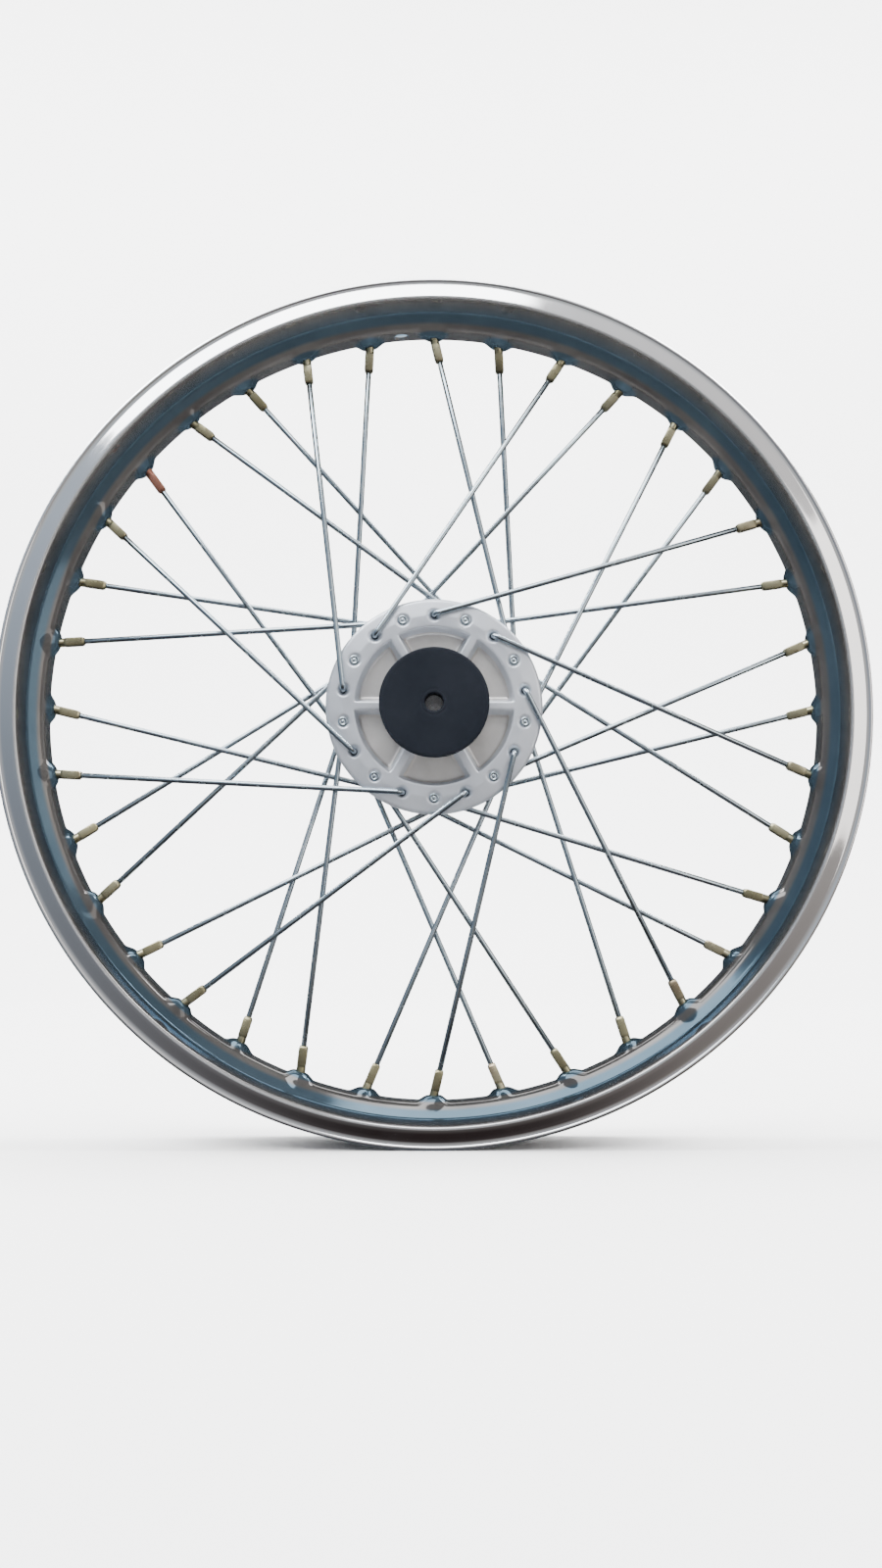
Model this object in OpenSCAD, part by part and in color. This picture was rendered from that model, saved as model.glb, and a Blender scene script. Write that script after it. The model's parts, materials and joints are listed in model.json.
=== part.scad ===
// Spoked motorcycle front wheel without its tyre: a rolled steel rim laced with 36 spokes
// to a cast hub that turns on two ball bearings. Millimetres, +Z up. The origin is the
// wheel's centre, the axle lies along Y and the ribbed side of the hub faces -Y (the near
// side). Angles run anticlockwise from +X, seen from the near side.

/* [Rim] */
// Outer diameter over the rim's flanges
rim_d = 480; // [474:1:490]
// Overall width over the two flanges
rim_w = 55.8; // [52:0.1:60]
// Thickness of the rolled sheet
sheet_t = 1.8; // [1.4:0.1:2.2]
// Radius of the rolled lip's round edge
lip_r = 1.3; // [1:0.1:1.6]
// Distance from the rim's edge down to the centre of the well sheet
well_depth = 22; // [20:0.5:24]
// Radius of the valve hole
valve_hole_r = 4.25; // [3:0.05:4.5]
// Place of the valve hole around the rim
valve_angle = 95; // [93:0.5:97]

/* [Lacing] */
// Diameter of a spoke
spoke_d = 3; // [2.4:0.1:3.2]
// Angle that each spoke gains between its hub hole and its rim hole
lace_angle = 60; // [55:1:62]
// Radius of the circle that the dimples' tips lie on
tip_r = 213.8; // [212:0.1:215]
// Sideways offset of the rim holes from the middle of the rim
rim_hole_y = 2.7; // [1:0.1:4]
// Length of a nipple's square body below the rim
nipple_len = 14; // [10:0.5:18]
// Width across the flats of a nipple
nipple_w = 4.8; // [4.4:0.1:5]

/* [Hub] */
// Radius of the circle of spoke holes in both flanges
hole_circle_r = 51.2; // [50:0.1:52]
// Outer radius of the near flange
near_flange_r = 60.3; // [59:0.1:61]
// Outer radius of the far flange
far_flange_r = 57; // [56.5:0.1:58]
// Distance of the near flange's outer face from the wheel's middle plane
near_face_y = 15.3; // [15:0.1:17]
// Distance of the far flange's outer face from the wheel's middle plane
far_face_y = 29.2; // [28:0.1:30]
// Thickness of a flange
flange_t = 6; // [5.5:0.1:6.5]
// Outer radius of the ribbed recess in the near face
recess_r = 44.3; // [43:0.1:45]
// Depth of the recess below the near face
recess_depth = 8.3; // [6:0.1:9]
// Width of a rib's flat top
rib_w = 4; // [3:0.1:5]

/* [Brake disc seat] */
// Radius of the seat that a brake disc lies against
seat_r = 43.5; // [43:0.1:44]
// Distance of the seat from the wheel's middle plane
seat_y = 38; // [37:0.5:39]
// Radius of the spigot that centres the disc
spigot_r = 25; // [24:0.1:26]
// Radius of the circle of bolt holes
bolt_circle_r = 36; // [35:0.1:36.5]
// Radius of a tapped bolt hole
bolt_hole_r = 3.4; // [3:0.1:4]

/* [Axle and bearings] */
// Radius of the hole for the axle
axle_r = 5.05; // [5.02:0.01:5.1]
// Outer radius of a ball bearing
bearing_r = 17.5; // [17:0.5:18]
// Width of a ball bearing
bearing_w = 11; // [10:0.5:11]
// Radius of a ball
ball_r = 3.4; // [3.2:0.1:3.4]
// Outer radius of the near dust cover
cover_r = 30.1; // [29:0.1:31]
// Distance of the dust cover's face from the wheel's middle plane
cover_y = 31.1; // [30.5:0.1:32]

/* [Hidden] */
$fn = 64;
HALF_TURN = 180;
SPOKES_PER_KIND = 9;
STEP = 360 / SPOKES_PER_KIND;
GAP = 0.05;
OVER = 1;

// Spokes: the elbow's corner stands clear of the flange by half a spoke and a little air.
spoke_r = spoke_d / 2;
KNUCKLE = 0.1;
elbow_off = spoke_r + 0.3;
hole_r = spoke_r + 0.4;
csk_r = 4;
csk_depth = csk_r - hole_r;
head_r = 2.8;
head_edge = 0.7;
head_depth = 0.5;

// Rim: the sheet's centre line, as [radius, sideways distance] corners with their bends.
rim_r = rim_d / 2;
well_r = rim_r - well_depth;
lip_at = [rim_r - lip_r, rim_w / 2 - 2.4];
RIM_CORNERS = [
    [well_r, 0], [well_r, 7], [well_r + 8.6, 12.4],
    [rim_r - 12.1, rim_w / 2 - 0.4], [rim_r - 3.6, rim_w / 2 - 2.8], lip_at
];
RIM_BENDS = [0, 4.5, 3.5, 1.6, 5, 0];
BEND_STEPS = 4;

// Dimples: cones that lie along the spokes, pressed out of the well.
dimple_tip_r = 3.9;
dimple_base_r = 9;
dimple_len = 7.6;
dimple_wall = 1.5;
pocket_tip_r = 3.3;
pocket_base_r = 8.4;
pocket_len = 9;
neck_r = 2.5;
neck_len = 2.6;
nipple_corner_r = 3.3;
nipple_end_r = 2.2;
nipple_chamfer = 1.2;
nipple_head_r = 3.1;
nipple_head_len = 3.4;
nipple_head_end_r = 2.3;
spoke_past_tip = 4;

// Hub, measured along Y from the wheel's middle plane.
near_back_y = near_face_y - flange_t;
far_back_y = far_face_y - flange_t;
near_cone = 1.7;
far_cone = 2.4;
boss_r = 24.5;
boss_y = 25.5;
recess_in_r = boss_r + 0.4;
recess_draft = 2.6;
boss_draft = 1.5;
rib_draft = 3.2;
RIBS = 6;
waist_r = 35;
seat_bolts = 4;
spigot_y = 43;
seat_pocket_y = 19;
seat_pocket_r = 38.5;
seat_pocket_in_r = spigot_r + 2.5;
bolt_boss_r = 7.4;
web_t = 6;
bolt_hole_depth = 15;
cavity_r = 14.5;

// Bearings: centres along Y, and the stack of pieces that stands still with the axle.
near_bearing_y = -14.5;
far_bearing_y = 31.5;
ball_circle_r = 11.5;
ball_count = 7;
groove_r = ball_r + 0.1;
race_in_r = 9.3;
race_out_r = 13.7;
cage_half = 4.2;
cage_in_r = 10.4;
cage_out_r = 12.6;
shield_t = 0.6;
shield_in_r = 9.8;
shield_out_r = 14.6;
tube_r = 7.6;
collar_r = 8.4;
seal_t = 4;
seal_in_r = 9;
cover_t = 3.4;
skirt_t = 1.8;
skirt_y = 24.6;
far_collar_y = 47;
far_flange_collar_r = 13;

// Each kind of spoke: side of the wheel, first hub hole, turn of the lacing, the elbow's
// distance from the middle plane, and whether the shank runs outwards from the elbow.
NEAR_OUTER = [-1, 10, -1, near_face_y + elbow_off, false];
NEAR_INNER = [-1, 30, 1, near_back_y - elbow_off, true];
FAR_OUTER = [1, 20, 1, far_face_y + elbow_off, false];
FAR_INNER = [1, 0, -1, far_back_y - elbow_off, true];
KINDS = [NEAR_OUTER, NEAR_INNER, FAR_OUTER, FAR_INNER];
KIND_NAMES = ["near_outer_spoke", "near_inner_spoke", "far_outer_spoke", "far_inner_spoke"];
SPOKES = [for (kind = [0:3]) for (i = [1:SPOKES_PER_KIND]) str(KIND_NAMES[kind], "_", i)];

// ---- helpers ----

function polar(r, a) = [r * cos(a), 0, r * sin(a)];
function unit(v) = v / norm(v);
function direction(v) = atan2(v[1], v[0]);
function shortest(a) = a > HALF_TURN ? a - 360 : a < -HALF_TURN ? a + 360 : a;

// Points of the arc of radius r that rounds corner b of the line a-b-c.
function bend(a, b, c, r) =
    let (u = unit(a - b), v = unit(c - b), half = acos(u * v) / 2)
    let (centre = b + unit(u + v) * r / sin(half))
    let (from = direction(b + u * r / tan(half) - centre), to = direction(b + v * r / tan(half) - centre))
    [for (i = [0:BEND_STEPS]) let (t = from + shortest(to - from) * i / BEND_STEPS)
        centre + r * [cos(t), sin(t)]];

// The sheet's centre line from the middle of the well to the lip.
function rim_line() = concat(
    [RIM_CORNERS[0]],
    [for (i = [1:len(RIM_CORNERS) - 2])
        each bend(RIM_CORNERS[i - 1], RIM_CORNERS[i], RIM_CORNERS[i + 1], RIM_BENDS[i])],
    [RIM_CORNERS[len(RIM_CORNERS) - 1]]
);

// A line moved sideways by d, square to the direction between each point's neighbours.
function shifted(line, d) = [
    for (i = [0:len(line) - 1])
        let (along = unit(line[min(i + 1, len(line) - 1)] - line[max(i - 1, 0)]))
        line[i] + d * [along[1], -along[0]]
];

function reversed(list) = [for (i = [len(list) - 1:-1:0]) list[i]];
function mirrored(line) = [for (i = [len(line) - 1:-1:1]) [line[i][0], -line[i][1]]];

// A body turned about the wheel's axle: the 2D child is [radius, distance along +Y].
module turned() {
    rotate([-90, 0, 0]) rotate_extrude() children();
}

// A cylinder or cone along +Y that starts at y.
module along_y(y, h, r1, r2) {
    translate([0, y, 0]) rotate([-90, 0, 0]) cylinder(h = h, r1 = r1, r2 = r2);
}

// A ring about the axle between two distances along Y.
module ring(y1, y2, r_in, r_out) {
    turned() translate([r_in, y1]) square([r_out - r_in, y2 - y1]);
}

// ---- lacing ----

// Hub angle, rim angle, and the elbow and the dimple's tip along Y, for spoke i of a kind.
function hub_angle(kind, i) = kind[1] + STEP * i;
function rim_angle(kind, i) = hub_angle(kind, i) + kind[2] * lace_angle;
function lace(kind, i) = polar(tip_r, rim_angle(kind, i)) - polar(hole_circle_r, hub_angle(kind, i));
function lace_len() = norm(lace(NEAR_OUTER, 0));
function lean(kind) = atan2(kind[0] * (rim_hole_y - kind[3]), lace_len());
function tip_x(kind) = norm([lace_len(), rim_hole_y - kind[3]]);

// Puts its child in a spoke's own frame: the elbow's corner at the origin and the straight
// part along +X, with +Y near the wheel's +Y.
module on_spoke(kind, i) {
    towards = lace(kind, i);
    translate(polar(hole_circle_r, hub_angle(kind, i)))
        rotate([0, -atan2(towards[2], towards[0]), 0])
            translate([0, kind[0] * kind[3], 0])
                rotate([0, 0, lean(kind)])
                    children();
}

module along_x(x, h, r1, r2) {
    translate([x, 0, 0]) rotate([0, 90, 0]) cylinder(h = h, r1 = r1, r2 = r2);
}

// The shank points towards +Y or -Y from the elbow.
function shank_side(kind) = kind[4] ? kind[0] : -kind[0];

// A round bar about its own axis, laid along +X: the outline is [distance, radius] points.
module turned_bar(outline) {
    rotate([0, 90, 0]) rotate_extrude()
        polygon(concat([[0, outline[0][0]]], [for (p = outline) [p[1], p[0]]],
            [[0, outline[len(outline) - 1][0]]]));
}

// The straight wire and the shank meet in a knuckle that stands a hair proud of them.
module spoke(kind, i) {
    side = shank_side(kind);
    opening = 90 - side * lean(kind);
    shank_end = elbow_off + flange_t - head_depth;
    head_from = shank_end - head_edge;
    color("lightsteelblue") on_spoke(kind, i) mirror([0, side < 0 ? 1 : 0, 0]) {
        along_x(0, tip_x(kind) + spoke_past_tip, spoke_r, spoke_r);
        rotate([0, 0, 225]) sphere(r = spoke_r + KNUCKLE);
        rotate([0, 0, opening]) turned_bar([
            [0, spoke_r], [head_from - head_r + spoke_r, spoke_r], [head_from, head_r], [shank_end, head_r]
        ]);
    }
}

// A nipple: square body with a turned neck, a tapered head inside the dimple and a bore.
module nipple(kind, i) {
    tip = tip_x(kind);
    body = tip - nipple_len;
    body_end = tip - neck_len;
    head = tip + dimple_wall + GAP;
    on_spoke(kind, i) difference() {
        union() {
            intersection() {
                turned_bar([
                    [body, nipple_end_r], [body + nipple_chamfer, nipple_corner_r], [body_end, nipple_corner_r]
                ]);
                translate([body - OVER, -nipple_w / 2, -nipple_w / 2])
                    cube([nipple_len + OVER, nipple_w, nipple_w]);
            }
            turned_bar([
                [body_end - GAP, neck_r], [head, neck_r], [head, nipple_head_r],
                [head + nipple_head_len, nipple_head_end_r]
            ]);
        }
        along_x(body - OVER, nipple_len + pocket_len, spoke_r + GAP, spoke_r + GAP);
    }
}

module nipples() {
    color("darkkhaki") for (kind = KINDS, i = [0:SPOKES_PER_KIND - 1]) nipple(kind, i);
}

// ---- rim ----

module rim_section() {
    half = rim_line();
    line = concat(mirrored(half), half);
    polygon(concat(shifted(line, sheet_t / 2), reversed(shifted(line, -sheet_t / 2))));
    for (side = [-1, 1]) translate([lip_at[0], side * lip_at[1]]) circle(r = lip_r);
}

module rim() {
    color("silver") difference() {
        union() {
            turned() rim_section();
            for (kind = KINDS, i = [0:SPOKES_PER_KIND - 1]) intersection() {
                on_spoke(kind, i) along_x(tip_x(kind), dimple_len, dimple_tip_r, dimple_base_r);
                along_y(-rim_w / 2, rim_w, well_r, well_r);
            }
        }
        for (kind = KINDS, i = [0:SPOKES_PER_KIND - 1]) on_spoke(kind, i) {
            along_x(tip_x(kind) + dimple_wall, pocket_len, pocket_tip_r, pocket_base_r);
            along_x(tip_x(kind) - OVER, dimple_wall + OVER * 2, neck_r + GAP, neck_r + GAP);
        }
        rotate([0, -valve_angle, 0]) along_x(tip_r, well_depth, valve_hole_r, valve_hole_r);
    }
}

// ---- hub ----

// Outline of the hub casting from the near boss to the spigot: [radius, distance along Y].
HUB_OUTLINE = [
    [0, -boss_y], [boss_r - 1, -boss_y], [boss_r, -boss_y + 1], [boss_r, -near_face_y],
    [hole_circle_r - 0.6, -near_face_y], [near_flange_r - 1.2, -near_face_y + near_cone - 0.3],
    [near_flange_r, -near_face_y + near_cone + 0.8], [near_flange_r, -near_back_y - 1.2],
    [near_flange_r - 1, -near_back_y], [50, -near_back_y], [48.4, -near_back_y + 1.4],
    [47.6, -near_back_y + 4.5], [waist_r + 1, 5], [waist_r, 8], [waist_r, 12], [waist_r + 1, 15],
    [44.6, 20.4], [46, far_back_y], [far_flange_r - 1, far_back_y], [far_flange_r, far_back_y + 1],
    [far_flange_r, far_face_y - far_cone - 0.8], [far_flange_r - 0.8, far_face_y - far_cone],
    [hole_circle_r - 1, far_face_y], [46, far_face_y], [seat_r, far_face_y + 2.5],
    [seat_r, seat_y - 0.8], [seat_r - 0.8, seat_y], [spigot_r, seat_y], [spigot_r, spigot_y - 1],
    [spigot_r - 1, spigot_y], [0, spigot_y]
];

// One recess between two ribs, with drafted walls, whose middle lies at +X.
module recess_pocket() {
    floor_y = recess_depth - near_face_y;
    top = [-near_face_y - OVER, rib_w / 2];
    base = [floor_y + OVER, rib_w / 2 + rib_draft];
    difference() {
        along_y(-near_face_y - GAP, recess_depth + GAP, recess_r, recess_r - recess_draft);
        along_y(-near_face_y - OVER, recess_depth + OVER * 2, recess_in_r, recess_in_r + boss_draft);
        for (side = [-1, 1]) rotate([0, side * HALF_TURN / RIBS, 0]) mirror([0, 0, side < 0 ? 1 : 0])
            rotate([90, 0, 90]) linear_extrude(height = rim_r, center = true)
                polygon([top, base, [base[0], -near_flange_r], [top[0], -near_flange_r]]);
    }
}

module spoke_holes(first, face, back) {
    for (i = [0:SPOKES_PER_KIND * 2 - 1]) translate(polar(hole_circle_r, first + i * STEP / 2)) {
        along_y(min(face, back) - OVER, flange_t + OVER * 2, hole_r, hole_r);
        along_y(min(face, back) - GAP, csk_depth + GAP, csk_r + GAP, hole_r);
        along_y(max(face, back) - csk_depth, csk_depth + GAP, hole_r, csk_r + GAP);
    }
}

// Pockets around the spigot, which leave a boss and a web at each bolt hole.
module seat_pockets() {
    difference() {
        ring(seat_pocket_y, seat_y + OVER, seat_pocket_in_r, seat_pocket_r);
        for (i = [0:seat_bolts - 1]) rotate([0, -45 - i * 360 / seat_bolts, 0]) {
            translate([bolt_circle_r, 0, 0])
                along_y(seat_pocket_y - OVER, seat_y - seat_pocket_y + OVER * 3, bolt_boss_r, bolt_boss_r);
            translate([spigot_r, seat_pocket_y - OVER, -web_t / 2])
                cube([bolt_circle_r - spigot_r, seat_y - seat_pocket_y, web_t]);
        }
    }
}

module hub_shell() {
    color("silver") difference() {
        turned() polygon(HUB_OUTLINE);
        for (i = [0:RIBS - 1]) rotate([0, -(i + 0.5) * 360 / RIBS, 0]) recess_pocket();
        spoke_holes(NEAR_OUTER[1], -near_face_y, -near_back_y);
        spoke_holes(FAR_INNER[1], far_back_y, far_face_y);
        seat_pockets();
        for (i = [0:seat_bolts - 1]) rotate([0, -45 - i * 360 / seat_bolts, 0])
            translate([bolt_circle_r, 0, 0]) along_y(seat_y - bolt_hole_depth, bolt_hole_depth + OVER,
                bolt_hole_r, bolt_hole_r);
        along_y(-boss_y - OVER, boss_y + near_bearing_y + bearing_w / 2 + OVER, bearing_r, bearing_r);
        along_y(far_bearing_y - bearing_w / 2, spigot_y - far_bearing_y + bearing_w / 2 + OVER,
            bearing_r, bearing_r);
        along_y(-boss_y, boss_y + spigot_y, cavity_r, cavity_r);
    }
}

// ---- bearings ----

module ball_groove(y) {
    turned() translate([ball_circle_r, y]) circle(r = groove_r);
}

module outer_race(y) {
    color("lightgray") difference() {
        ring(y - bearing_w / 2, y + bearing_w / 2, race_out_r, bearing_r);
        ball_groove(y);
        for (side = [-1, 1]) shield_seat(y, side);
    }
}

// The space of a shield: it lies against the seat's step and fills the seat's radius.
module shield_seat(y, side) {
    outer = side * bearing_w / 2;
    ring(y + min(outer, outer - side * shield_t), y + max(outer, outer - side * shield_t), race_out_r - 1,
        shield_out_r);
}

module inner_race(y) {
    color("lightgray") difference() {
        ring(y - bearing_w / 2, y + bearing_w / 2, axle_r, race_in_r);
        ball_groove(y);
    }
}

module balls(y) {
    color("white") for (i = [0:ball_count - 1])
        translate(polar(ball_circle_r, i * 360 / ball_count)) translate([0, y, 0]) sphere(r = ball_r);
}

module cage(y) {
    color("goldenrod") difference() {
        ring(y - cage_half, y + cage_half, cage_in_r, cage_out_r);
        for (i = [0:ball_count - 1]) rotate([0, -i * 360 / ball_count, 0]) translate([0, y, 0])
            along_x(cage_in_r - OVER, cage_out_r - cage_in_r + OVER * 2, ball_r + GAP, ball_r + GAP);
    }
}

module shields(y) {
    color("dimgray") for (side = [-1, 1]) {
        outer = side * bearing_w / 2;
        ring(y + min(outer, outer - side * shield_t), y + max(outer, outer - side * shield_t),
            shield_in_r, shield_out_r);
    }
}

// ---- seals, tube, cover and collar ----

module near_oil_seal() {
    front = near_bearing_y - bearing_w / 2 - GAP;
    color("saddlebrown") ring(front - seal_t, front, seal_in_r, bearing_r);
}

module far_oil_seal() {
    front = far_bearing_y + bearing_w / 2 + GAP;
    color("saddlebrown") ring(front, front + seal_t, seal_in_r, bearing_r);
}

module distance_tube() {
    color("gray") ring(near_bearing_y + bearing_w / 2, far_bearing_y - bearing_w / 2, axle_r, tube_r);
}

module near_dust_cover() {
    race_face = near_bearing_y - bearing_w / 2;
    color([0.12, 0.14, 0.18]) turned() polygon([
        [axle_r + 0.8, -cover_y], [cover_r - 0.8, -cover_y], [cover_r, -cover_y + 0.8], [cover_r, -skirt_y],
        [cover_r - skirt_t, -skirt_y], [cover_r - skirt_t, -cover_y + cover_t],
        [collar_r, -cover_y + cover_t], [collar_r, race_face], [axle_r, race_face],
        [axle_r, -cover_y + 0.8]
    ]);
}

module far_collar() {
    race_face = far_bearing_y + bearing_w / 2;
    color("darkgray") turned() polygon([
        [axle_r, race_face], [collar_r, race_face], [collar_r, spigot_y + 1],
        [far_flange_collar_r, spigot_y + 1], [far_flange_collar_r, far_collar_y - 0.6],
        [far_flange_collar_r - 0.6, far_collar_y], [axle_r, far_collar_y]
    ]);
}

// ---- nodes ----

rim();
hub_shell();
nipples();
for (kind = [0:3]) for (i = [1:SPOKES_PER_KIND])
    spoke(KINDS[kind], i - 1);
outer_race(near_bearing_y);  // near_bearing_outer_race
inner_race(near_bearing_y);  // near_bearing_inner_race
balls(near_bearing_y);  // near_bearing_balls
cage(near_bearing_y);  // near_bearing_cage
shields(near_bearing_y);  // near_bearing_shields
outer_race(far_bearing_y);  // far_bearing_outer_race
inner_race(far_bearing_y);  // far_bearing_inner_race
balls(far_bearing_y);  // far_bearing_balls
cage(far_bearing_y);  // far_bearing_cage
shields(far_bearing_y);  // far_bearing_shields
near_oil_seal();
far_oil_seal();
distance_tube();
near_dust_cover();
far_collar();
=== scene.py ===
"""Looks of a laced motorcycle front wheel: chromed rim, zinc spokes, plated nipples and a painted hub.

Lengths are written in millimetres and turned into metres where a mesh is made. The axle lies along Y,
the ribbed side of the hub (the near side) faces -Y, and angles run anticlockwise from +X seen from there.
"""

import json
import math

import bmesh
import bpy
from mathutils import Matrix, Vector

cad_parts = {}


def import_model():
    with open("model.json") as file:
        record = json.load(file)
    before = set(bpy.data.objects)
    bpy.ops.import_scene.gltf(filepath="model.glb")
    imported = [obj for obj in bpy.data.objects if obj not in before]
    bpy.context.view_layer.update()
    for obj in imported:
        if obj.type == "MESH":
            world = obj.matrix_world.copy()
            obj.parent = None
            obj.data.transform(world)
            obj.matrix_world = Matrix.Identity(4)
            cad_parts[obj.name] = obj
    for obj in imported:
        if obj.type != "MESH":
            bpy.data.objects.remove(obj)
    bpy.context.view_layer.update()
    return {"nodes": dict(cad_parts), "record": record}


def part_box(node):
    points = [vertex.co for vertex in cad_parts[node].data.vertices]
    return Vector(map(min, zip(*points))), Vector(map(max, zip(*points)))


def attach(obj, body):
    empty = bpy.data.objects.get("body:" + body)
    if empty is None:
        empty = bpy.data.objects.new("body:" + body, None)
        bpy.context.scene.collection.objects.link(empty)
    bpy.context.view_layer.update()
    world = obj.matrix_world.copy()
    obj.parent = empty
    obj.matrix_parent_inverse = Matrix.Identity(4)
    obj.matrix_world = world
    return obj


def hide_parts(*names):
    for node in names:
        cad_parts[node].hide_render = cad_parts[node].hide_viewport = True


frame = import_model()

MM = 0.001
WHEEL = "wheel"
AXLE = "axle_stack"

# ---- sizes read from the frame, in millimetres ----

RIM_LOW, RIM_HIGH = (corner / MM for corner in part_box("rim"))
RIM_R = RIM_HIGH.x
RIM_HALF_W = 27.9
COVER_LOW, COVER_HIGH = (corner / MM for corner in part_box("near_dust_cover"))
COVER_R = COVER_HIGH.x
COVER_Y = COVER_LOW.y
AXLE_R = frame["record"]["mounts"][0]["dims"]["r_mm"]

# ---- lacing, as the design has it ----

SPOKES_PER_KIND = 9
KIND_STEP = 360 / SPOKES_PER_KIND
SPOKE_R = 1.5
HOLE_CIRCLE_R = 51.2
TIP_R = 213.8
RIM_HOLE_Y = 2.7
LACE_ANGLE = 60
FLANGE_T = 6
ELBOW_OFF = 1.8
ELBOW_R = 3
HEAD_DEPTH = 0.5
NEAR_FACE, FAR_FACE = 15.3, 29.2

# name: (side, first hub hole, turn, elbow's distance from the middle plane, shank runs outwards)
KINDS = {
    "near_outer_spoke": (-1, 10, -1, NEAR_FACE + ELBOW_OFF, False),
    "near_inner_spoke": (-1, 30, 1, NEAR_FACE - FLANGE_T - ELBOW_OFF, True),
    "far_outer_spoke": (1, 20, 1, FAR_FACE + ELBOW_OFF, False),
    "far_inner_spoke": (1, 0, -1, FAR_FACE - FLANGE_T - ELBOW_OFF, True),
}


# ---- mesh helpers ----

def polar(radius, angle, y=0.0):
    """A point on a circle about the axle, in millimetres; the angle is in degrees."""
    a = math.radians(angle)
    return Vector((radius * math.cos(a), y, radius * math.sin(a)))


def make_object(name, verts, faces, material, smooth_angle=None):
    """A mesh object from millimetre points. Edges sharper than smooth_angle degrees stay crisp."""
    mesh = bpy.data.meshes.new(name)
    mesh.from_pydata([v * MM for v in verts], [], faces)
    mesh.validate()
    bm = bmesh.new()
    bm.from_mesh(mesh)
    bmesh.ops.recalc_face_normals(bm, faces=bm.faces)
    for face in bm.faces:
        face.smooth = True
    if smooth_angle is not None:
        for edge in bm.edges:
            edge.smooth = edge.is_boundary or edge.calc_face_angle(0) < math.radians(smooth_angle)
    bm.to_mesh(mesh)
    bm.free()
    mesh.materials.append(material)
    piece = bpy.data.objects.new(name, mesh)
    bpy.context.scene.collection.objects.link(piece)
    return piece


def finish_piece(piece, body, slot, *nodes):
    """Fixes a finished piece to its body and hides the CAD nodes it stands for."""
    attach(piece, body)
    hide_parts(*nodes)
    return piece


def grid_faces(rings, count, close_rings=False, offset=0):
    """Quads between consecutive rings of count points each."""
    faces = []
    last = rings if close_rings else rings - 1
    for i in range(last):
        a, b = offset + i * count, offset + (i + 1) % rings * count
        faces += [(a + j, a + (j + 1) % count, b + (j + 1) % count, b + j) for j in range(count)]
    return faces


def turned(name, profile, steps, material, smooth_angle=None):
    """A closed profile of (radius, y) points turned about the axle."""
    verts = [polar(r, 360 * i / steps, y) for i in range(steps) for r, y in profile]
    return make_object(name, verts, grid_faces(steps, len(profile), close_rings=True), material, smooth_angle)


def bend(a, b, c, radius, steps):
    """Points of the arc that rounds corner b of the line a-b-c."""
    u, v = (a - b).normalized(), (c - b).normalized()
    half = u.angle(v) / 2
    centre = b + (u + v).normalized() * radius / math.sin(half)
    start = b + u * radius / math.tan(half) - centre
    end = b + v * radius / math.tan(half) - centre
    return [centre + start.lerp(end, t / steps).normalized() * radius for t in range(steps + 1)]


# ---- materials ----

class Nodes:
    """Short calls for building one procedural material."""

    def __init__(self, name):
        self.material = bpy.data.materials.new(name)
        self.material.use_nodes = True
        self.tree = self.material.node_tree
        self.shader = self.tree.nodes["Principled BSDF"]
        self.coords = self.add("ShaderNodeTexCoord").outputs["Object"]

    def add(self, kind, **values):
        node = self.tree.nodes.new(kind)
        for key, value in values.items():
            if hasattr(node, key):
                setattr(node, key, value)
            else:
                node.inputs[key.replace("_", " ")].default_value = value
        return node

    def link(self, output, target):
        self.tree.links.new(output, target)

    def noise(self, scale, detail=3.0, roughness=0.5, coords=None):
        node = self.add("ShaderNodeTexNoise", Scale=scale, Detail=detail, Roughness=roughness)
        self.link(coords or self.coords, node.inputs["Vector"])
        return node.outputs["Fac"]

    def ramp(self, fac, stops):
        node = self.add("ShaderNodeValToRGB")
        elements = node.color_ramp.elements
        while len(elements) < len(stops):
            elements.new(0.5)
        for element, (place, colour) in zip(elements, stops):
            element.position = place
            element.color = (*colour, 1) if isinstance(colour, tuple) else (colour, colour, colour, 1)
        self.link(fac, node.inputs["Fac"])
        return node.outputs["Color"]

    def mix(self, fac, a, b):
        node = self.add("ShaderNodeMix", data_type="RGBA")
        self.link(fac, node.inputs[0])
        self.link(a, node.inputs[6])
        self.link(b, node.inputs[7])
        return node.outputs[2]

    def bumps(self, *layers):
        """Each layer is (height output, strength, distance in millimetres)."""
        normal = None
        for height, strength, distance in layers:
            node = self.add("ShaderNodeBump", Strength=strength, Distance=distance * MM)
            self.link(height, node.inputs["Height"])
            if normal:
                self.link(normal, node.inputs["Normal"])
            normal = node.outputs["Normal"]
        self.link(normal, self.shader.inputs["Normal"])

    def set(self, **values):
        for key, value in values.items():
            self.shader.inputs[key.replace("_", " ")].default_value = value


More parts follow.
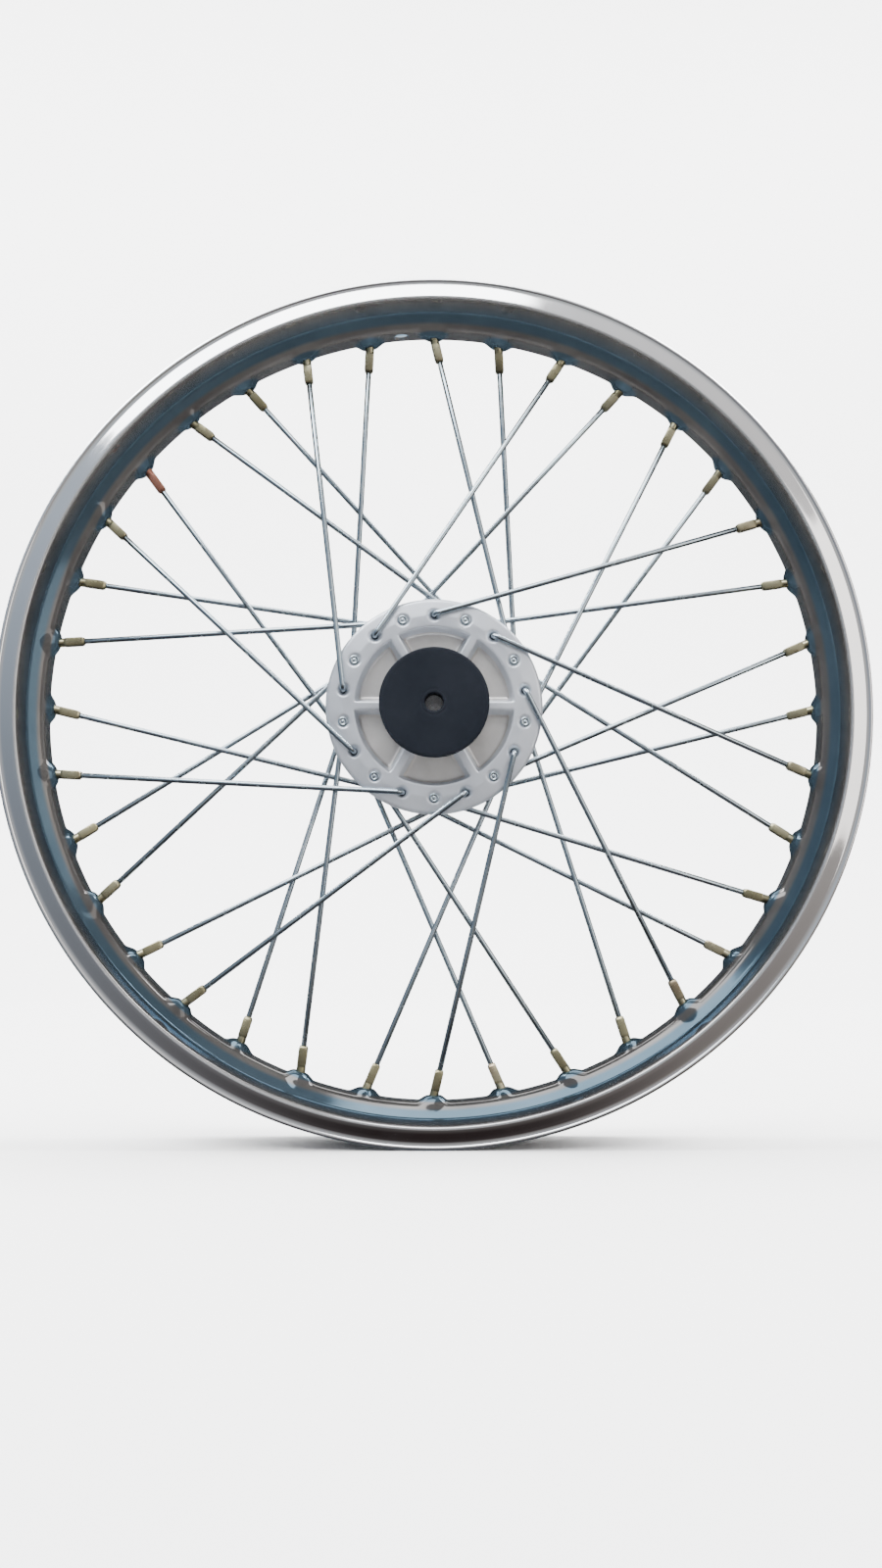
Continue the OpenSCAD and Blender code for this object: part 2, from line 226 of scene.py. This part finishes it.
def chrome(well_to):
    """Bright chrome on the flanges. Inside the radius well_to the colour is painted reflection: bands of dark blue
    and grey at fixed radii with a bluish specular tint, standing in for what the well would mirror.
    """
    m = Nodes("chrome")
    flat = m.add("ShaderNodeVectorMath", operation="MULTIPLY")
    flat.inputs[1].default_value = (1, 0, 1)
    m.link(m.coords, flat.inputs[0])
    radius = m.add("ShaderNodeVectorMath", operation="LENGTH")
    m.link(flat.outputs["Vector"], radius.inputs[0])
    seat = m.add("ShaderNodeMapRange")
    m.link(radius.outputs["Value"], seat.inputs["Value"])
    seat.inputs["From Min"].default_value = (well_to - 1.5) * MM
    seat.inputs["From Max"].default_value = well_to * MM
    m.link(m.ramp(seat.outputs["Result"], [(0, 0.7), (1, 1.0)]), m.shader.inputs["Metallic"])
    # Inside the well the specular tint turns bluish: painted reflection colour.
    m.link(m.ramp(seat.outputs["Result"], [(0, (0.28, 0.38, 0.46)), (1, 1.0)]), m.shader.inputs["Specular Tint"])
    bright = m.ramp(m.noise(9, 4), [(0.3, (0.72, 0.73, 0.75)), (0.7, (0.82, 0.83, 0.84))])
    # Painted reflection: these dark blue and dark grey base colours stand in for dark surroundings mirrored in the
    # well; the noise only varies them a little.
    painted_blue_reflection = m.ramp(m.noise(14, 4), [(0.3, (0.032, 0.052, 0.07)), (0.7, (0.055, 0.082, 0.105))])
    painted_grey_reflection = m.ramp(m.noise(18, 4), [(0.3, (0.06, 0.056, 0.055)), (0.7, (0.11, 0.105, 0.10))])
    depth = m.add("ShaderNodeMapRange")
    m.link(radius.outputs["Value"], depth.inputs["Value"])
    depth.inputs["From Min"].default_value = (well_to - 16) * MM
    depth.inputs["From Max"].default_value = well_to * MM
    # Painted reflection bands: rings of blue and grey at fixed radii across the well and its walls.
    painted_reflection_bands = m.ramp(depth.outputs["Result"], [
        (0.22, 0.0), (0.28, 1.0), (0.45, 1.0), (0.55, 0.0), (0.80, 0.0), (0.88, 1.0)])
    well = m.mix(painted_reflection_bands, painted_blue_reflection, painted_grey_reflection)
    m.link(m.mix(seat.outputs["Result"], well, bright), m.shader.inputs["Base Color"])
    m.link(m.ramp(m.noise(60, 5, 0.6), [(0.35, 0.06), (0.75, 0.14)]), m.shader.inputs["Roughness"])
    m.bumps((m.noise(22, 1), 0.10, 1.0), (m.noise(900, 2), 0.03, 0.05))
    return m.material


def zinc(name, dark, light, rough):
    m = Nodes(name)
    m.set(Metallic=1.0)
    m.link(m.ramp(m.noise(45, 4), [(0.3, dark), (0.7, light)]), m.shader.inputs["Base Color"])
    m.link(m.ramp(m.noise(160, 4), [(0.3, rough), (0.8, rough + 0.16)]), m.shader.inputs["Roughness"])
    m.bumps((m.noise(1400, 2), 0.15, 0.05))
    return m.material


def plated_nipple(name, stops):
    m = Nodes(name)
    m.set(Metallic=1.0)
    m.link(m.ramp(m.noise(24, 2), stops), m.shader.inputs["Base Color"])
    m.link(m.ramp(m.noise(220, 4), [(0.3, 0.2), (0.8, 0.42)]), m.shader.inputs["Roughness"])
    m.bumps((m.noise(700, 3), 0.2, 0.08))
    return m.material


def painted_casting(floor_from):
    """Satin silver paint; floor_from is the depth, in millimetres along Y, where the raw recess floor starts."""
    m = Nodes("painted_casting")
    place = m.add("ShaderNodeSeparateXYZ")
    m.link(m.coords, place.inputs[0])
    rise = m.add("ShaderNodeMapRange")
    m.link(place.outputs["Y"], rise.inputs["Value"])
    rise.inputs["From Min"].default_value = (floor_from - 1.0) * MM
    rise.inputs["From Max"].default_value = floor_from * MM
    paint = m.ramp(m.noise(30, 5), [(0.3, (0.50, 0.53, 0.58)), (0.7, (0.59, 0.62, 0.67))])
    floor = m.ramp(m.noise(70, 6), [(0.3, (0.50, 0.49, 0.48)), (0.7, (0.60, 0.59, 0.58))])
    m.link(m.mix(rise.outputs["Result"], paint, floor), m.shader.inputs["Base Color"])
    m.link(m.ramp(m.noise(180, 5), [(0.3, 0.34), (0.75, 0.5)]), m.shader.inputs["Roughness"])
    m.set(Metallic=0.82, Coat_Weight=0.1, Coat_Roughness=0.3)
    m.bumps((m.noise(420, 4, 0.6), 0.16, 0.25), (m.noise(60, 3), 0.12, 0.6))
    return m.material


def moulded(name, low, high, rough, grain, shine):
    m = Nodes(name)
    m.set(Specular_IOR_Level=shine)
    m.link(m.ramp(m.noise(26, 6), [(0.3, low), (0.75, high)]), m.shader.inputs["Base Color"])
    m.link(m.ramp(m.noise(240, 4), [(0.3, rough), (0.8, rough + 0.14)]), m.shader.inputs["Roughness"])
    m.bumps((m.noise(grain, 3), 0.18, 0.12))
    return m.material


CHROME = chrome(RIM_R - 11.2)
ZINC = zinc("zinc_wire", (0.36, 0.43, 0.49), (0.50, 0.58, 0.63), 0.17)
TURNED_STEEL = zinc("turned_steel", (0.52, 0.53, 0.54), (0.66, 0.67, 0.68), 0.24)
BRASS = plated_nipple("yellow_passivated", [
    (0.25, (0.18, 0.17, 0.115)), (0.42, (0.32, 0.295, 0.18)), (0.55, (0.44, 0.41, 0.27)),
    (0.70, (0.31, 0.235, 0.16)), (0.85, (0.23, 0.255, 0.19))])
COPPER = plated_nipple("copper_passivated", [(0.3, (0.46, 0.19, 0.13)), (0.7, (0.56, 0.27, 0.20))])
PAINT = painted_casting(-8.4)
BLACK = moulded("black_plastic", (0.004, 0.006, 0.010), (0.008, 0.010, 0.015), 0.55, 900, 0.1)
RUBBER = moulded("seal_rubber", (0.012, 0.012, 0.013), (0.022, 0.022, 0.024), 0.6, 1200, 0.4)


# ---- lacing ----

class Lace:
    """Where one spoke runs: its elbow's corner, its straight direction and its shank direction."""

    def __init__(self, kind, i):
        side, first, turn, elbow, outwards = KINDS[kind]
        self.hub_angle = first + KIND_STEP * i
        self.rim_angle = self.hub_angle + turn * LACE_ANGLE
        self.corner = polar(HOLE_CIRCLE_R, self.hub_angle, side * elbow)
        self.tip = polar(TIP_R, self.rim_angle, side * RIM_HOLE_Y)
        self.length = (self.tip - self.corner).length
        self.along = (self.tip - self.corner).normalized()
        self.shank = Vector((0, side if outwards else -side, 0))

    def at(self, distance):
        return self.corner + self.along * distance


LACES = {f"{kind}_{i + 1}": Lace(kind, i) for kind in KINDS for i in range(SPOKES_PER_KIND)}


def swept(path, tangents, radii, sides):
    """Rings of points around a line, each square to its tangent, without twist."""
    ring_points = []
    normal = tangents[0].orthogonal().normalized()
    for i, (point, radius) in enumerate(zip(path, radii)):
        if i:
            normal = (tangents[i - 1].rotation_difference(tangents[i]) @ normal).normalized()
        across = tangents[i].cross(normal)
        ring_points += [point + (normal * math.cos(a) + across * math.sin(a)) * radius
                        for a in (2 * math.pi * k / sides for k in range(sides))]
    return ring_points


def spoke_wire(node, lace):
    """The wire from its headed end, through the elbow's bend, to the threaded end inside the nipple."""
    sides = 20
    head_end = ELBOW_OFF + FLANGE_T - HEAD_DEPTH
    head_r, head_edge = 2.8, 0.7
    # (distance along the shank from the corner, radius): a flat head with a raised ring, then its cone
    head = [(head_end - 0.10, 0.05), (head_end - 0.10, 0.9), (head_end - 0.22, 1.05), (head_end - 0.22, 1.25),
            (head_end - 0.02, 1.4), (head_end, 2.2), (head_end - 0.12, 2.6), (head_end - 0.35, head_r),
            (head_end - head_edge, head_r), (head_end - head_edge - 0.6, 2.1),
            (head_end - head_edge - head_r + SPOKE_R, SPOKE_R + 0.1), (head_end - head_edge - 2, SPOKE_R)]
    path = [lace.corner + lace.shank * d for d, _ in head]
    radii = [r for _, r in head]
    curve = bend(lace.corner + lace.shank * 20, lace.corner, lace.at(20), ELBOW_R, 10)
    straight = [lace.at(12), lace.at(lace.length * 0.5), lace.at(lace.length + 3.5), lace.at(lace.length + 4)]
    turns = [(-lace.shank).slerp(lace.along, k / (len(curve) - 1)) for k in range(len(curve))]
    tangents = [-lace.shank] * len(head) + turns + [lace.along] * len(straight)
    path += curve + straight
    radii += [SPOKE_R] * (len(curve) + 3) + [SPOKE_R - 0.4]
    verts = swept(path, tangents, radii, sides)
    faces = grid_faces(len(path), sides)
    faces += [tuple(range(sides)), tuple(range((len(path) - 1) * sides, len(path) * sides))]
    piece = make_object(f"{node}_wire", verts, faces, ZINC, smooth_angle=55)
    finish_piece(piece, WHEEL, "zinc_plated_steel", node)


def section(half_width, corner):
    """A square of the given half width whose corners are rounded by corner; a circle when they match."""
    points, per_corner = [], 6
    for quarter in range(4):
        for k in range(per_corner):
            a = math.radians(quarter * 90 + 90 * (k + 0.5) / per_corner)
            mid = math.radians(quarter * 90 + 45)
            inset = (half_width - corner) * math.sqrt(2)
            points.append((inset * math.cos(mid) + corner * math.cos(a),
                           inset * math.sin(mid) + corner * math.sin(a)))
    return points


def nipple_mesh(lace):
    """Points and faces of one nipple: bored square body with chamfered end, turned neck and domed head."""
    tip, half = lace.length, 2.4
    body, body_end = tip - 14.0, tip - 2.6
    neck, head, bore = 2.5, 3.1, SPOKE_R + 0.06
    # (distance, half width, corner radius)
    sections = [
        (body + 2.5, bore, bore), (body + 0.5, bore, bore), (body, bore + 0.35, bore + 0.35),
        (body, 1.95, 1.75), (body + 0.25, 2.15, 1.7), (body + 1.1, half - 0.08, 0.95), (body + 1.5, half, 0.55),
        (body_end - 1.3, half, 0.55), (body_end - 0.6, half, 0.9), (body_end, half - 0.02, 2.2),
        (body_end + 0.3, neck, neck), (tip + 1.5, neck, neck), (tip + 1.6, head, head),
        (tip + 3.8, head, head), (tip + 4.6, head - 0.4, head - 0.4), (tip + 5.1, head - 1.3, head - 1.3),
        (tip + 5.2, bore, bore), (tip + 4.2, bore, bore),
    ]
    up = Vector((0, 1, 0))
    side = lace.along.cross(up).normalized()
    up = side.cross(lace.along)
    verts = [lace.at(d) + side * u + up * v for d, w, c in sections for u, v in section(w, c)]
    return verts, grid_faces(len(sections), len(section(1, 1)))


def nipples():
    """All the nipples; one of them came from a copper-coloured batch."""
    copper_angle = 140
    groups = {"yellow": ([], []), "copper": ([], [])}
    for lace in LACES.values():
        copper = abs((lace.rim_angle - copper_angle + 180) % 360 - 180) < 1
        verts, faces = groups["copper" if copper else "yellow"]
        new_verts, new_faces = nipple_mesh(lace)
        faces += [tuple(k + len(verts) for k in face) for face in new_faces]
        verts += new_verts
    for colour, material in (("yellow", BRASS), ("copper", COPPER)):
        piece = make_object(f"nipples_{colour}", *groups[colour], material, smooth_angle=40)
        finish_piece(piece, WHEEL, "passivated_brass", "nipples")


# ---- rim ----

SHEET_HALF = 0.9
LIP_R = 1.3
WELL_R = RIM_R - 22
LIP = Vector((RIM_R - LIP_R, RIM_HALF_W - 2.4))
CORNERS = [Vector(c) for c in (
    (WELL_R, 0), (WELL_R, 7), (WELL_R + 8.6, 12.4), (RIM_R - 12.1, RIM_HALF_W - 0.4),
    (RIM_R - 3.6, RIM_HALF_W - 2.8))] + [LIP]
BENDS = [None, (4.5, 6), (3.5, 6), (1.0, 7), (5, 7)]
RIM_STEPS = 36 * 30
WELL_REACH = 13
DIMPLE_TOP, DIMPLE_FOOT = 3.3, 9.6
VALVE_ANGLE = 95


def divided(a, b, longest):
    """Points between a and b, neither included, no further apart than longest."""
    count = max(1, math.ceil((b - a).length / longest))
    return [a.lerp(b, k / count) for k in range(1, count)]


def rim_line():
    """Half of the sheet's centre line, from the middle of the well to where the lip's bead starts."""
    line = [CORNERS[0]]
    for i in range(1, len(CORNERS) - 1):
        radius, steps = BENDS[i]
        arc = bend(CORNERS[i - 1], CORNERS[i], CORNERS[i + 1], radius, steps)
        line += divided(line[-1], arc[0], 1.1 if i < 3 else 3.0) + arc
    return line + [line[-1].lerp(LIP, 0.45)]


def offset(line, distance):
    """The line moved sideways, square to the direction between each point's neighbours."""
    moved = []
    for i, point in enumerate(line):
        along = (line[min(i + 1, len(line) - 1)] - line[max(i - 1, 0)]).normalized()
        moved.append(point + Vector((along.y, -along.x)) * distance)
    return moved


def rim_profile():
    """The closed outline of the sheet with a round bead along each lip, as (radius, y) points."""
    half = rim_line()
    line = [Vector((p.x, -p.y)) for p in reversed(half[1:])] + half
    tyre_side, hub_side = offset(line, SHEET_HALF), offset(line, -SHEET_HALF)

    def bead(start, end, side, steps=11):
        centre = Vector((LIP.x, side * LIP.y))
        a = math.atan2(start.y - centre.y, start.x - centre.x)
        b = math.atan2(end.y - centre.y, end.x - centre.x)
        sweep = (b - a) % (2 * math.pi)
        return [centre + LIP_R * Vector((math.cos(a + sweep * k / steps), math.sin(a + sweep * k / steps)))
                for k in range(steps + 1)]

    far_bead = bead(tyre_side[-1], hub_side[-1], 1)
    near_bead = bead(hub_side[0], tyre_side[0], -1)
    return tyre_side + far_bead + list(reversed(hub_side)) + near_bead


def dimple_shift(point, lace):
    """How far the press pushed this point of the sheet towards the hub, along the spoke."""
    reach = point - lace.tip
    height = reach.dot(lace.along)
    off_axis = (reach - lace.along * height).length
    t = min(max((DIMPLE_FOOT - off_axis) / (DIMPLE_FOOT - DIMPLE_TOP), 0), 1)
    rise = (WELL_R - SHEET_HALF - TIP_R) / max(lace.along.dot(lace.tip.normalized()), 0.5)
    return lace.along * (-rise * t * t * (3 - 2 * t))


def rim():
    """The rolled sheet, with its dimples pressed in and the valve hole punched."""
    profile = rim_profile()
    by_rim_angle = {round(lace.rim_angle % 360): lace for lace in LACES.values()}
    verts = []
    for i in range(RIM_STEPS):
        angle = 360 * i / RIM_STEPS
        lace = by_rim_angle[round(angle / 10) * 10 % 360]
        for r, y in profile:
            point = polar(r, angle, y)
            if abs(y) < WELL_REACH and r < WELL_R + 10:
                point = point + dimple_shift(point, lace)
            verts.append(point)
    piece = make_object("rim_chromed", verts, grid_faces(RIM_STEPS, len(profile), close_rings=True), CHROME,
                        smooth_angle=70)
    punch_valve_hole(piece)
    finish_piece(piece, WHEEL, "chromed_steel", "rim")


def punch_valve_hole(piece):
    """Opens a round hole through both faces of the sheet and joins its two edges with a wall."""
    hole_r = 4.25
    out = polar(1, VALVE_ANGLE)
    around = Vector((0, 1, 0)).cross(out)
    bm = bmesh.new()
    bm.from_mesh(piece.data)

    def flat(v):
        return Vector((v.co.dot(around), v.co.y)) / MM

    inside = [f for f in bm.faces if f.calc_center_median().dot(out) > 0
              and all(flat(v).length < hole_r + 0.55 for v in f.verts)]
    bmesh.ops.delete(bm, geom=inside, context="FACES")
    loose_edge = [e for e in bm.edges if e.is_boundary]
    for v in {v for e in loose_edge for v in e.verts}:
        place = flat(v)
        shift = place.normalized() * hole_r - place
        v.co += (around * shift.x + Vector((0, 1, 0)) * shift.y) * MM
    wall = bmesh.ops.bridge_loops(bm, edges=loose_edge)["faces"]
    for face in wall:
        face.smooth = True
        for edge in face.edges:
            if any(f not in wall for f in edge.link_faces):
                edge.smooth = False
    bm.to_mesh(piece.data)
    bm.free()


# ---- hub and the pieces on the axle ----

def hub():
    """The casting: the design's solid, skinned again so that every edge has a cast radius."""
    source = frame["nodes"]["hub_shell"]
    piece = bpy.data.objects.new("hub_casting", source.data.copy())
    bpy.context.scene.collection.objects.link(piece)
    remesh = piece.modifiers.new("skin", "REMESH")
    remesh.mode = "VOXEL"
    remesh.voxel_size = 0.5 * MM
    remesh.use_smooth_shade = True
    relax = piece.modifiers.new("cast_edges", "SMOOTH")
    relax.factor = 0.5
    relax.iterations = 5
    skinned = bpy.data.meshes.new_from_object(piece.evaluated_get(bpy.context.evaluated_depsgraph_get()))
    piece.modifiers.clear()
    piece.data = skinned
    skinned.materials.clear()
    skinned.materials.append(PAINT)
    finish_piece(piece, WHEEL, "painted_aluminium", "hub_shell")


def dust_cover():
    """A shallow moulded cap with a softly rounded edge, a skirt, and a collar through its middle."""
    r, y = COVER_R, COVER_Y
    skirt_y, back_y, collar_r = -24.6, y + 3.4, 8.4
    race_y = COVER_HIGH.y
    profile = [(AXLE_R, y + 0.8), (AXLE_R + 0.25, y + 0.3), (AXLE_R + 0.8, y + 0.06), (AXLE_R + 1.5, y),
               (AXLE_R + 1.75, y + 0.12), (AXLE_R + 2.1, y + 0.12), (AXLE_R + 2.4, y + 0.02)]
    face_from, face_to = AXLE_R + 4, r - 2.2
    dish = 0.1
    face_steps = 8
    for k in range(face_steps + 1):
        t = k / face_steps
        profile.append((face_from + (face_to - face_from) * t, y + dish * math.sin(math.pi * t)))
    edge_r = 1.1
    for k in range(1, 7):
        a = math.radians(90 * k / 6)
        profile.append((r - edge_r + edge_r * math.sin(a), y + edge_r - edge_r * math.cos(a)))
    profile += [(r, y + 3), (r, skirt_y - 0.4), (r - 0.4, skirt_y), (r - 1.4, skirt_y),
                (r - 1.8, skirt_y - 0.4), (r - 1.8, back_y + 0.6), (r - 2.4, back_y), (collar_r + 0.6, back_y),
                (collar_r, back_y + 0.6), (collar_r, race_y), (AXLE_R, race_y), (AXLE_R, y + 4)]
    piece = turned("dust_cover_moulded", profile, 192, BLACK, smooth_angle=50)
    finish_piece(piece, AXLE, "black_plastic", "near_dust_cover")


def repaint_cad():
    """The turned pieces whose CAD shape is already right only take their material."""
    finishes = {"seal_rubber": RUBBER, "bearing_steel": TURNED_STEEL, "pressed_steel": TURNED_STEEL,
                "zinc_plated_steel": TURNED_STEEL}
    slots = {row["node"]: row["material_slot"] for row in frame["record"]["subparts"]}
    for name, node in frame["nodes"].items():
        material = finishes.get(slots[name])
        if material and not node.hide_render:
            node.data.materials.clear()
            node.data.materials.append(material)


# ---- studio ----

FLOOR_Z = RIM_LOW.z * MM
CAMERA_AT = Vector((-1.7, -802.3, -113.4)) * MM
CAMERA_PITCH, CAMERA_YAW = 5.07, 0.4
LENS = 32.97


def camera():
    data = bpy.data.cameras.new("camera")
    data.sensor_width = 36
    data.lens = LENS
    data.clip_start = 0.01
    cam = bpy.data.objects.new("camera", data)
    bpy.context.scene.collection.objects.link(cam)
    pitch, yaw = math.radians(CAMERA_PITCH), math.radians(CAMERA_YAW)
    look = Vector((math.sin(yaw) * math.cos(pitch), math.cos(yaw) * math.cos(pitch), math.sin(pitch)))
    cam.location = CAMERA_AT
    cam.rotation_mode = "QUATERNION"
    cam.rotation_quaternion = look.to_track_quat("-Z", "Y")
    bpy.context.scene.camera = cam


def area_light(name, at, target, size, power, colour=(1, 1, 1)):
    data = bpy.data.lights.new(name, "AREA")
    data.shape = "RECTANGLE"
    data.size, data.size_y = size
    data.energy = power
    data.color = colour
    light = bpy.data.objects.new(name, data)
    light.location = at
    light.rotation_mode = "QUATERNION"
    light.rotation_quaternion = (Vector(target) - Vector(at)).to_track_quat("-Z", "Y")
    bpy.context.scene.collection.objects.link(light)
    return light


def sweep_backdrop():
    """A pale floor that curves up into a wall behind the wheel."""
    depth_front, depth_back, height, radius, half_width = -4.0, 2.2, 4.5, 0.9, 5.0
    line = [(depth_front, 0.0), (depth_back - radius, 0.0)]
    line += [(depth_back - radius + radius * math.sin(a), radius - radius * math.cos(a))
             for a in (math.radians(90 * k / 16) for k in range(1, 17))]
    line.append((depth_back, height))
    mesh = bpy.data.meshes.new("backdrop")
    verts = [(x, y, FLOOR_Z + z) for y, z in line for x in (-half_width, half_width)]
    mesh.from_pydata(verts, [], [(2 * i, 2 * i + 1, 2 * i + 3, 2 * i + 2) for i in range(len(line) - 1)])
    for face in mesh.polygons:
        face.use_smooth = True
    m = Nodes("backdrop_paper")
    m.link(m.ramp(m.noise(2, 2), [(0.3, 0.86), (0.7, 0.88)]), m.shader.inputs["Base Color"])
    m.set(Roughness=0.9)
    mesh.materials.append(m.material)
    piece = bpy.data.objects.new("backdrop", mesh)
    bpy.context.scene.collection.objects.link(piece)
    piece.visible_glossy = False


def world():
    """A dim room: dark and warm below, bright above, cooler on the left."""
    scene_world = bpy.data.worlds.new("studio")
    bpy.context.scene.world = scene_world
    scene_world.use_nodes = True
    tree = scene_world.node_tree
    coords = tree.nodes.new("ShaderNodeTexCoord")
    parts = tree.nodes.new("ShaderNodeSeparateXYZ")
    tree.links.new(coords.outputs["Generated"], parts.inputs[0])

    def ramp(output, stops):
        spread = tree.nodes.new("ShaderNodeMapRange")
        spread.inputs["From Min"].default_value = -1
        tree.links.new(output, spread.inputs["Value"])
        node = tree.nodes.new("ShaderNodeValToRGB")
        elements = node.color_ramp.elements
        while len(elements) < len(stops):
            elements.new(0.5)
        for element, (place, colour) in zip(elements, stops):
            element.position = place
            element.color = (*colour, 1)
        tree.links.new(spread.outputs[0], node.inputs[0])
        return node.outputs[0]

    front = ramp(parts.outputs["Z"], [
        (0.0, (0.16, 0.18, 0.21)), (0.11, (0.035, 0.028, 0.028)), (0.18, (0.028, 0.02, 0.02)),
        (0.26, (0.20, 0.185, 0.18)), (0.38, (0.33, 0.32, 0.32)), (0.53, (0.50, 0.50, 0.51)), (0.66, (0.74, 0.755, 0.78)),
        (0.93, (1.1, 1.12, 1.15)), (1.0, (0.6, 0.62, 0.66))])
    sideways = ramp(parts.outputs["X"], [(0.12, (0.60, 0.68, 0.78)), (0.5, (1, 1, 1)), (0.88, (1.12, 1.04, 0.97))])
    behind = ramp(parts.outputs["Y"], [(0.55, (0, 0, 0)), (0.75, (1, 1, 1))])
    tint = tree.nodes.new("ShaderNodeMix")
    tint.data_type = "RGBA"
    tint.blend_type = "MULTIPLY"
    tint.inputs[0].default_value = 1.0
    tree.links.new(front, tint.inputs[6])
    tree.links.new(sideways, tint.inputs[7])
    mix = tree.nodes.new("ShaderNodeMix")
    mix.data_type = "RGBA"
    mix.inputs[7].default_value = (0.13, 0.13, 0.135, 1)
    tree.links.new(behind, mix.inputs[0])
    tree.links.new(tint.outputs[2], mix.inputs[6])
    tree.links.new(mix.outputs[2], tree.nodes["Background"].inputs["Color"])


def studio():
    sweep_backdrop()
    world()
    area_light("key_above", (-0.5, -1.4, 1.9), (0, 0, 0), (1.8, 1.2), 62)
    area_light("wash_backdrop_left", (-1.8, 0.2, 2.2), (0, 2.2, 0.2), (1.6, 1.0), 210)
    area_light("wash_backdrop_right", (1.8, 0.2, 2.2), (0, 2.2, 0.2), (1.6, 1.0), 210)
    area_light("wash_floor", (0, 0.5, 2.4), (0, 0.4, FLOOR_Z), (3.0, 1.6), 160)
    area_light("fill_right", (1.6, -1.6, 0.4), (0, 0, 0), (1.0, 1.4), 10, (1.0, 0.95, 0.9))


# ---- everything ----

camera()
for node_name, spoke_lace in LACES.items():
    spoke_wire(node_name, spoke_lace)
nipples()
rim()
hub()
dust_cover()
repaint_cad()
studio()
